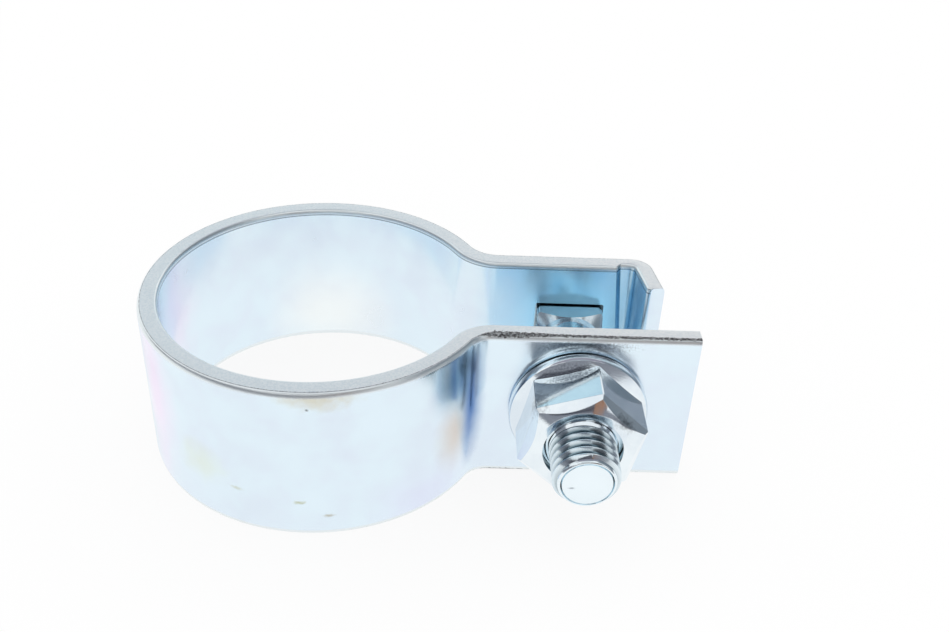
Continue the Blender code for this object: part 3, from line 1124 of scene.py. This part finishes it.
@dataclass
class CarriageBolt:
    """Carriage bolt: domed head, square neck, plain shank and rolled thread."""

    shank_diameter: float = 9.9 * MM
    core_diameter: float = 8.1 * MM
    pilot_radius: float = 4.25 * MM
    pilot_length: float = 0.5 * MM
    pilot_round: float = 0.42 * MM
    shoulder_angle: float = math.radians(20.0)
    tip_crease: tuple[float, float] = (0.24 * MM, 0.45 * MM)
    groove_end: float = 1.2 * MM
    head_diameter: float = 24.0 * MM
    head_height: float = 5.2 * MM
    head_rim: float = 1.0 * MM
    neck_width: float = 10.7 * MM
    neck_length: float = 6.9 * MM
    neck_round: float = 0.6 * MM
    neck_taper_length: float = 1.6 * MM
    neck_end_step: float = 0.4 * MM
    thread_length: float = 26.0 * MM
    thread_base_width: float = 1.3 * MM
    thread_crest_width: float = 0.2 * MM
    thread_inset: float = 0.03 * MM
    margin: float = 1.0 * MM

    sides: int = 144
    dome_steps: int = 32
    corner_step: float = math.radians(10.0)
    sharp_angle: float = math.radians(28.0)

    def head_profile(self, crown: float, seat: float) -> list[tuple[float, float]]:
        """Profile of the domed head, from its crown to the edge of its flat underside.

        Args:
            crown: Height of the crown along the bolt.
            seat: Height of the underside.

        Returns:
            Radius and height of each point.
        """
        rise = self.head_height - self.head_rim
        half = self.head_diameter / 2
        dome_radius = (half**2 + rise**2) / (2 * rise)
        opening = math.asin(half / dome_radius)
        points = []
        for k in range(1, self.dome_steps + 1):
            angle = opening * k / self.dome_steps
            points.append((dome_radius * math.sin(angle), crown + dome_radius * (1 - math.cos(angle))))
        return points + [(half, seat)]

    def neck(self, seat: float, axes: Axes) -> bpy.types.Object:
        """Square neck, its corners tapered away towards the round shank.

        Args:
            seat: Height of the head's underside.
            axes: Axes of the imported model.

        Returns:
            The neck as a body of its own.
        """
        start = seat - self.head_rim / 2
        end = seat + self.neck_length
        outline = rounded_square(self.neck_width, self.neck_round, self.corner_step)
        neck = add_object("neck_block", prism(outline, start, end), axes.bolt)
        corner = self.neck_width / math.sqrt(2)
        end_radius = self.shank_diameter / 2 + self.neck_end_step
        slope = (corner - end_radius) / self.neck_taper_length
        taper = turned([
            (corner, start - self.margin),
            (corner, end - self.neck_taper_length),
            (end_radius - slope * self.margin, end + self.margin),
        ], self.sides)
        tool = add_object("neck_taper", taper, axes.bolt)
        boolean(neck, Operation.KEEP, tool)
        settle(neck, [tool])
        return neck

    def build(self, axes: Axes) -> bpy.types.Object:
        """Builds the bolt.

        Args:
            axes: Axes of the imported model.

        Returns:
            The bolt, without its finish.
        """
        low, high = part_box("carriage_bolt")
        tip = axes.bolt_height(low.y)
        crown = axes.bolt_height(high.y)
        seat = crown + self.head_height
        shank = self.shank_diameter / 2
        core = self.core_diameter / 2
        thread_end = tip - self.thread_length
        pilot_end = tip - self.pilot_length
        profile = self.head_profile(crown, seat)
        profile += [
            (shank, seat),
            (shank, thread_end - (shank - core)),
            (core, thread_end),
            (core, tip - self.groove_end),
            (self.pilot_radius + self.thread_inset, pilot_end - self.thread_inset),
        ]
        round_centre = Vector((self.pilot_radius - self.pilot_round, tip - self.pilot_round))
        profile += [(p.x, p.y) for p in arc(round_centre, self.pilot_round, 0.0, QUARTER, self.corner_step)]
        crease, crease_depth = self.tip_crease
        profile += [(round_centre.x - crease / 2, tip - crease_depth), (round_centre.x - crease, tip)]
        bolt = add_object("clamp_bolt", turned(profile, self.sides), axes.bolt)

        thread = Thread(
            base_radius=core,
            crest_radius=shank,
            base_width=self.thread_base_width,
            crest_width=self.thread_crest_width,
            start=thread_end,
            turns=(tip - thread_end) / Thread.pitch + 1,
        )
        ridge = thread.ridge("bolt_thread", axes.bolt)
        slope = math.tan(self.shoulder_angle)
        envelope = add_object("thread_envelope", turned([
            (shank + self.margin, thread_end - Thread.pitch),
            (shank + self.margin, pilot_end - (shank + self.margin - self.pilot_radius) * slope),
            (self.pilot_radius, pilot_end),
        ], self.sides), axes.bolt)
        boolean(ridge, Operation.KEEP, envelope)
        settle(ridge, [envelope])
        neck = self.neck(seat, axes)
        boolean(bolt, Operation.JOIN, neck)
        boolean(bolt, Operation.JOIN, ridge)
        settle(bolt, [neck, ridge])
        smooth(bolt, self.sharp_angle)
        return bolt

    def dress(self, piece: bpy.types.Object, axes: Axes) -> None:
        """Gives the bolt its finish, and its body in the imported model.

        Args:
            piece: The bolt.
            axes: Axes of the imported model.
        """
        # Painted shade in the thread, darker towards its core, and a sheared end face, brighter and with one
        # nick
        root_shade = StainAndPaintedLight((40.0, -20.0, 13.0), (4.95, 36.0, 4.95), "4A646E", 0.92, 0.02, 1.5, 0.86)
        face = StainAndPaintedLight((40.0, -29.3, 13.0), (40.0, 1.4, 40.0), "F0FAFF", 1.0, 0.1)
        nick = StainAndPaintedLight((37.8, -29.3, 12.3), (0.7, 0.4, 0.25), "8E98A2", 0.8, 0.8, 0.4)
        finish = ZincPlate(
            "bright_zinc_plated_rolled_bolt", "DCEAF1", "CCDAE3", (root_shade, face, nick),
            smooth_roughness=0.12, dull_roughness=0.21)
        piece.data.materials.append(finish.material(axes.pipe.translation))
        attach(piece, Body.BOLT.value)
        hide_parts("carriage_bolt")


@dataclass
class FlangeNut:
    """Flange nut: chamfered hexagon on a coned flange, with a flat end face and a threaded bore."""

    across_flats: float = 17.0 * MM
    across_corners: float = 19.5 * MM
    angle: float = math.radians(17.4)
    face_diameter: float = 14.0 * MM
    chamfer_angle: float = math.radians(20.0)
    flat_bevel_length: float = 1.4 * MM
    flat_bevel_angle: float = math.radians(50.0)
    mouth_diameter: float = 11.8 * MM
    bore_diameter: float = 10.5 * MM
    flange_diameter: float = 21.0 * MM
    flange_rim: float = 1.6 * MM
    flange_edge: float = 0.4 * MM
    flange_angle: float = math.radians(15.0)
    flange_cone_inset: float = 0.85 * MM
    flange_edge_step: float = math.radians(15.0)
    edge_round: float = 0.16 * MM
    rounded_angle: float = math.radians(18.0)
    thread_diameter: float = 8.7 * MM
    thread_base_width: float = 1.44 * MM
    thread_crest_width: float = 0.35 * MM
    margin: float = 1.0 * MM

    sides: int = 144
    sharp_angle: float = math.radians(28.0)

    def thread_start(self, axes: Axes, low: float) -> float:
        """Height where the nut's thread starts, half a pitch from the bolt's thread.

        Args:
            axes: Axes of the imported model.
            low: Height of the nut's seat.

        Returns:
            The height, just below the seat.
        """
        bolt_start = axes.bolt_height(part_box("carriage_bolt")[0].y) - CarriageBolt.thread_length
        turns = math.floor((low - bolt_start) / Thread.pitch) - 0.5
        return bolt_start + turns * Thread.pitch

    def envelope(self, low: float, high: float) -> bmesh.types.BMesh:
        """Body that the hexagon is cut to: a cylinder over its corners with the cone of its end chamfer.

        Args:
            low: Height of the nut's seat.
            high: Height of its end face.

        Returns:
            The body.
        """
        corner = self.across_corners / 2
        face = self.face_diameter / 2
        slope = math.tan(self.chamfer_angle)
        return turned([
            (corner, low - self.margin),
            (corner, high - (corner - face) * slope),
            (face - self.margin / slope, high + self.margin),
        ], self.sides)

    def flange(self, low: float) -> bmesh.types.BMesh:
        """Flange: a low rim with eased edges, and the cone that rises from it into the hexagon.

        Args:
            low: Height of the nut's seat.

        Returns:
            The body.
        """
        rim = self.flange_diameter / 2
        hub = self.across_flats / 2 - self.flange_cone_inset
        top = low + self.flange_rim
        edge_centre = Vector((rim - self.flange_edge, low + self.flange_edge))
        edge = arc(edge_centre, self.flange_edge, -QUARTER, 0.0, self.flange_edge_step)
        return turned([(point.x, point.y) for point in edge] + [
            (rim, top - self.flange_edge),
            (rim - self.flange_edge / 2, top),
            (hub, top + (rim - hub) * math.tan(self.flange_angle)),
        ], self.sides)

    def bore(self, low: float, high: float) -> bmesh.types.BMesh:
        """Cutter of the bore, with a chamfer at each end.

        Args:
            low: Height of the nut's seat.
            high: Height of its end face.

        Returns:
            The cutter.
        """
        bore = self.bore_diameter / 2
        mouth = self.mouth_diameter / 2
        return turned([
            (mouth + self.margin, low - self.margin),
            (bore, low + mouth - bore),
            (bore, high - mouth + bore),
            (mouth + self.margin, high + self.margin),
        ], self.sides)

    def hexagon(self, low: float, high: float) -> bmesh.types.BMesh:
        """Hexagon with a bevel between each of its flats and its end face.

        Args:
            low: Height of the nut's seat.
            high: Height of its end face.

        Returns:
            The body.
        """
        rows = [
            (0.0, low + self.flange_rim / 2),
            (0.0, high - self.flat_bevel_length),
            (self.flat_bevel_length / math.tan(self.flat_bevel_angle), high),
        ]
        turns = [self.angle + k * math.pi / 3 for k in range(6)]
        sections = []
        for inset, height in rows:
            corner = (self.across_flats - 2 * inset) / math.sqrt(3)
            sections.append([Vector((corner * math.cos(a), corner * math.sin(a), height)) for a in turns])
        return loft(sections)

    def build(self, axes: Axes) -> bpy.types.Object:
        """Builds the nut.

        Args:
            axes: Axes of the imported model.

        Returns:
            The nut, without its finish.
        """
        box_low, box_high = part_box("flange_nut")
        low = axes.bolt_height(box_high.y)
        high = axes.bolt_height(box_low.y)
        nut = add_object("clamp_nut", self.hexagon(low, high), axes.bolt)
        envelope = add_object("chamfer_envelope", self.envelope(low, high), axes.bolt)
        flange = add_object("flange_body", self.flange(low), axes.bolt)
        bore_cutter = add_object("bore_cutter", self.bore(low, high), axes.bolt)
        boolean(nut, Operation.KEEP, envelope)
        round_edges(nut, self.edge_round, self.rounded_angle)
        boolean(nut, Operation.JOIN, flange)
        boolean(nut, Operation.CUT, bore_cutter)
        settle(nut, [envelope, flange, bore_cutter])

        bore = self.bore_diameter / 2
        thread = Thread(
            base_radius=bore,
            crest_radius=self.thread_diameter / 2,
            base_width=self.thread_base_width,
            crest_width=self.thread_crest_width,
            start=self.thread_start(axes, low),
            turns=(high - low) / Thread.pitch + 2,
            fade=0.001,
        )
        ridge = thread.ridge("nut_thread", axes.bolt)
        wall = bore + self.margin
        reach = bore - self.margin
        limits = add_object("thread_envelope", turned([
            (reach, low),
            (wall, low + wall - reach),
            (wall, high - (wall - reach)),
            (reach, high),
        ], self.sides), axes.bolt)
        boolean(ridge, Operation.KEEP, limits)
        settle(ridge, [limits])
        boolean(nut, Operation.JOIN, ridge)
        settle(nut, [ridge])
        smooth(nut, self.sharp_angle)
        return nut

    def dress(self, piece: bpy.types.Object, axes: Axes) -> None:
        """Gives the nut its finish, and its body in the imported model.

        Args:
            piece: The nut.
            axes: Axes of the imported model.
        """
        # Painted dark reflection speckling the top, a grey patch on the upper left and a dark streak on the
        # upper right
        speckled_reflection = StainAndPaintedLight((37.5, -15.6, 22.0), (9.0, 1.8, 2.7), "737B86", 0.95, 1.2, 0.35)
        grey_patch = StainAndPaintedLight((33.0, -19.5, 19.5), (2.8, 3.0, 2.4), "6A6A72", 0.6, 1.4, 0.5)
        streak = StainAndPaintedLight((46.3, -22.0, 19.0), (3.0, 0.9, 3.0), "34323A", 0.85, 1.0, 0.5)
        finish = ZincPlate(
            "bright_zinc_plated_cold_formed_nut", "EEF6FA", "E0EAF2", (speckled_reflection, grey_patch, streak),
            smooth_roughness=0.06, dull_roughness=0.14, grain_depth=0.003 * MM)
        piece.data.materials.append(finish.material(axes.pipe.translation))
        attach(piece, Body.NUT.value)
        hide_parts("flange_nut")


@dataclass(frozen=True)
class Camera:
    """Camera at the photograph's viewing angle, placed from the pipe's axis.

    Its place, its angles in radians and its lens are those of a pinhole fitted to the clamp's edges.
    """

    place: tuple[float, float, float] = (19.285 * MM, -140.379 * MM, 114.990 * MM)
    yaw: float = 0.0342
    pitch: float = 0.5891
    roll: float = 0.0493
    lens: float = 40.72
    sensor: float = 36.0
    nearest: float = 10.0 * MM

    def build(self, axes: Axes) -> None:
        """Adds the camera to the scene, and makes it the scene's camera.

        Args:
            axes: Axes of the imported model.
        """
        ahead = Vector((
            math.sin(self.yaw) * math.cos(self.pitch),
            math.cos(self.yaw) * math.cos(self.pitch),
            -math.sin(self.pitch),
        ))
        level_right = Vector((math.cos(self.yaw), -math.sin(self.yaw), 0.0))
        level_up = level_right.cross(ahead)
        right = math.cos(self.roll) * level_right + math.sin(self.roll) * level_up
        up = math.cos(self.roll) * level_up - math.sin(self.roll) * level_right
        data = bpy.data.cameras.new("studio_camera")
        data.lens = self.lens
        data.sensor_width = self.sensor
        data.clip_start = self.nearest
        camera = bpy.data.objects.new("studio_camera", data)
        bpy.context.scene.collection.objects.link(camera)
        turn = Matrix((right, up, -ahead)).transposed().to_4x4()
        camera.matrix_world = Matrix.Translation(axes.pipe.translation + Vector(self.place)) @ turn
        bpy.context.scene.camera = camera


def hang_felt(name: str, bm: bmesh.types.BMesh, felt: str, colour: str) -> None:
    """Adds an evenly lit sheet of felt, which the metal mirrors and the camera doesn't see.

    Args:
        name: Name of the object.
        bm: The sheet, which is freed.
        felt: Name of its material.
        colour: Its sRGB hex colour.
    """
    sheet = add_object(name, bm, Matrix.Identity(4))
    material = empty_material(felt)
    glow = add_node(material.node_tree, "ShaderNodeEmission", {"Color": linear(colour), "Strength": 1.0})
    add_node(material.node_tree, "ShaderNodeOutputMaterial", {"Surface": glow[0]})
    sheet.data.materials.append(material)
    sheet.visible_camera = False
    sheet.visible_diffuse = False


@dataclass(frozen=True)
class Card:
    """Card of one plain colour that stands or hangs round the clamp.

    Its angles are in degrees, seen from the clamp: azimuths from 0 at the camera's side and growing to the
    right, elevations from the floor up.
    """

    name: str
    start: float
    end: float
    low: float
    high: float
    colour: str
    distance: float = 1.2
    step: float = 4.0

    def build(self) -> None:
        """Adds the card to the studio."""
        start = math.radians(self.start)
        end = math.radians(self.end)
        count = math.ceil((end - start) / math.radians(self.step))
        bm = bmesh.new()
        rows = []
        for k in range(count + 1):
            turn = start + (end - start) * k / count
            side = Vector((math.sin(turn), -math.cos(turn), 0.0)) * self.distance
            rows.append([
                bm.verts.new(side + Vector((0.0, 0.0, self.distance * math.tan(math.radians(angle)))))
                for angle in (self.low, self.high)
            ])
        for first, second in zip(rows, rows[1:]):
            bm.faces.new((first[0], second[0], second[1], first[1]))
        hang_felt(self.name, bm, f"{self.name}_felt", self.colour)


@dataclass(frozen=True)
class Studio:
    """White light tent: pale floor, even white surround, and the cards and mats that the metal mirrors."""

    floor_size: float = 8.0
    floor_drop: float = 0.02 * MM
    floor_shade: float = 0.12
    mirrored_shade: float = 0.06
    light: float = 1.0

    # Left, right, front and back of each mat in mm: they darken the lower walls and the nut's lower flats
    mats: tuple[tuple[float, float, float, float], ...] = (
        (-1200.0, 1200.0, -1300.0, -128.0), (-1200.0, 5.0, -128.0, -92.0), (74.0, 1200.0, -128.0, -58.0),
    )
    mat_colour: str = "8A8C94"
    cards: tuple[Card, ...] = (
        # Dark bands in the bend, the thread and the nut's flats, and the copper glint in its bevel
        Card("horizon_card", -50.0, 12.0, -0.3, 11.0, "56565E"),
        Card("left_card", -110.0, -33.0, -0.3, 28.0, "868A92"),
        Card("copper_card", 12.0, 25.0, -0.3, 9.0, "AC8066"),
        Card("right_card", 12.0, 41.0, 9.0, 30.0, "484A50"),
        Card("side_card", 54.0, 135.0, -0.3, 55.0, "7E868E"),
        Card("camera_card", -27.0, 11.0, 28.5, 43.5, "626A76"),
        # Light blue and mauve grey in the faces that look up and back, darker right above
        Card("back_card", 178.0, 215.0, 25.0, 45.0, "C8E4F0"),
        Card("ceiling_card", 100.0, 260.0, 50.0, 75.0, "9C98A4"),
        Card("zenith_card", -180.0, 180.0, 72.0, 88.0, "A4AAB2"),
    )

    def build_floor(self) -> None:
        """Adds the floor, white to the eye and in the metal, with a faint shadow under the clamp."""
        bm = bmesh.new()
        bmesh.ops.create_grid(bm, x_segments=1, y_segments=1, size=self.floor_size / 2)
        floor = add_object("studio_floor", bm, Matrix.Translation((0.0, 0.0, -self.floor_drop)))
        material = empty_material("white_paper_sweep")
        tree = material.node_tree
        paper = add_node(tree, "ShaderNodeBsdfDiffuse", {"Color": linear("FFFFFF")})
        glow = add_node(tree, "ShaderNodeEmission", {"Color": linear("FFFFFF"), "Strength": 1.0})
        rays = add_node(tree, "ShaderNodeLightPath")
        seen = add_node(tree, "ShaderNodeMath", {
            0: rays["Is Camera Ray"], 1: 1.0 - self.floor_shade,
        }, operation="MULTIPLY")
        mirror = add_node(tree, "ShaderNodeMath", {
            0: rays["Is Glossy Ray"], 1: rays["Is Transmission Ray"],
        }, operation="MAXIMUM")
        mirrored = add_node(
            tree, "ShaderNodeMath", {0: mirror[0], 1: 1.0 - self.mirrored_shade}, operation="MULTIPLY")
        share = add_node(tree, "ShaderNodeMath", {0: seen[0], 1: mirrored[0]}, operation="MAXIMUM")
        mixed = add_node(tree, "ShaderNodeMixShader", {0: share[0], 1: paper[0], 2: glow[0]})
        add_node(tree, "ShaderNodeOutputMaterial", {"Surface": mixed[0]})
        floor.data.materials.append(material)

    def build_mats(self) -> None:
        """Adds the grey mats round the white sheet."""
        bm = bmesh.new()
        for left, right, front, back in self.mats:
            corners = ((left, front), (right, front), (right, back), (left, back))
            bm.faces.new([bm.verts.new((x * MM, y * MM, self.floor_drop)) for x, y in corners])
        hang_felt("grey_mats", bm, "grey_felt", self.mat_colour)

    def build_surround(self) -> None:
        """Makes the world an even white."""
        world = bpy.data.worlds.new("white_tent")
        bpy.context.scene.world = world
        world.use_nodes = True
        background = world.node_tree.nodes["Background"]
        background.inputs["Color"].default_value = linear("FFFFFF")
        background.inputs["Strength"].default_value = self.light

    def build(self) -> None:
        """Sets up the whole studio."""
        self.build_floor()
        self.build_mats()
        self.build_surround()
        for card in self.cards:
            card.build()
        bpy.context.scene.view_settings.view_transform = "Standard"


def main() -> None:
    logging.basicConfig(level=logging.INFO, format="%(name)s: %(message)s")
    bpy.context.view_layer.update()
    axes = Axes.from_frame()
    Camera().build(axes)
    Studio().build()
    for maker in (Band(), CarriageBolt(), FlangeNut()):
        piece = maker.build(axes)
        maker.dress(piece, axes)
        log.info("%s: %d faces", piece.name, len(piece.data.polygons))


if __name__ == "__main__":
    main()
